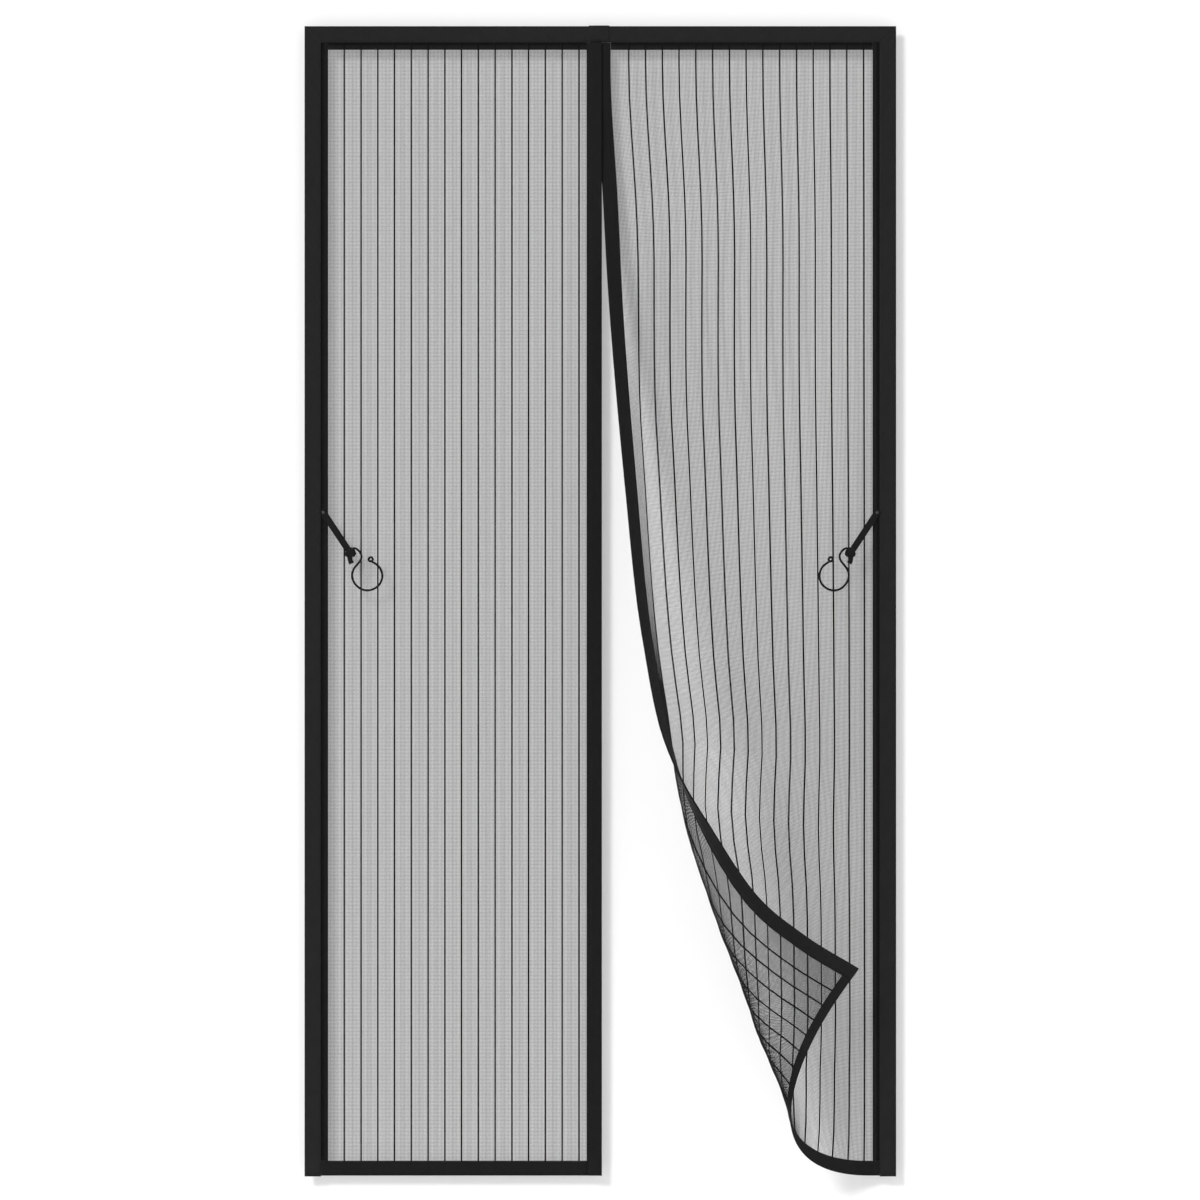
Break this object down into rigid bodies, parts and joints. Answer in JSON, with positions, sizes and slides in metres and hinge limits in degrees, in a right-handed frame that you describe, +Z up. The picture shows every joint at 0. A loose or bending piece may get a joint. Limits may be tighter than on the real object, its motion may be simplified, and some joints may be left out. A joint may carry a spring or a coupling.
{
  "type": "magnetic insect screen",
  "caption": "Two-leaf net screen for a doorway, bordered with cloth, hung by hook tape, closed by magnets in its centre hems, one leaf drawn aside, with wire-hook tie-backs",
  "frame": {"origin": "middle of the adhesive back face of the top hook tape, on the wall", "axes": "+X to the right seen from the room, +Y into the wall, +Z up; the front faces -Y"},
  "size_m": [1.08, 0.3026, 2.1013],
  "materials": {
    "border_fabric": "woven polyester",
    "hem_fabric": "woven polyester",
    "insect_net": "open black net with denser stripes",
    "hook_tape": "nylon hooks, adhesive back",
    "loop_tape": "nylon loops",
    "magnet": "sintered ferrite",
    "elastic": "woven elastic",
    "coated_wire": "plastic-coated steel wire",
    "rivet_metal": "nickel plated"
  },
  "bodies": {
    "root": {"centre_tab": "border_fabric", "hook_tape_left": "hook_tape", "hook_tape_right": "hook_tape", "hook_tape_top": "hook_tape", "left_bottom_hem": "hem_fabric", "left_centre_hem": "hem_fabric", "left_magnet_1": "magnet", "left_magnet_2": "magnet", "left_magnet_3": "magnet", "left_magnet_4": "magnet", "left_magnet_5": "magnet", "left_magnet_6": "magnet", "left_magnet_7": "magnet", "left_magnet_8": "magnet", "left_magnet_9": "magnet", "left_rivet": "rivet_metal", "left_screen": "insect_net", "left_side_border": "border_fabric", "left_side_facing": "border_fabric", "left_tie_hook": "coated_wire", "left_tie_strap": "elastic", "left_top_border": "border_fabric", "left_top_facing": "border_fabric", "loop_tape_left": "loop_tape", "loop_tape_right": "loop_tape", "loop_tape_top_left": "loop_tape", "loop_tape_top_right": "loop_tape", "right_bottom_hem": "hem_fabric", "right_centre_hem": "hem_fabric", "right_magnet_1": "magnet", "right_magnet_2": "magnet", "right_magnet_3": "magnet", "right_magnet_4": "magnet", "right_magnet_5": "magnet", "right_magnet_6": "magnet", "right_magnet_7": "magnet", "right_magnet_8": "magnet", "right_magnet_9": "magnet", "right_rivet": "rivet_metal", "right_screen": "insect_net", "right_side_border": "border_fabric", "right_side_facing": "border_fabric", "right_tie_hook": "coated_wire", "right_tie_strap": "elastic", "right_top_border": "border_fabric", "right_top_facing": "border_fabric"}
  },
  "joints": []
}
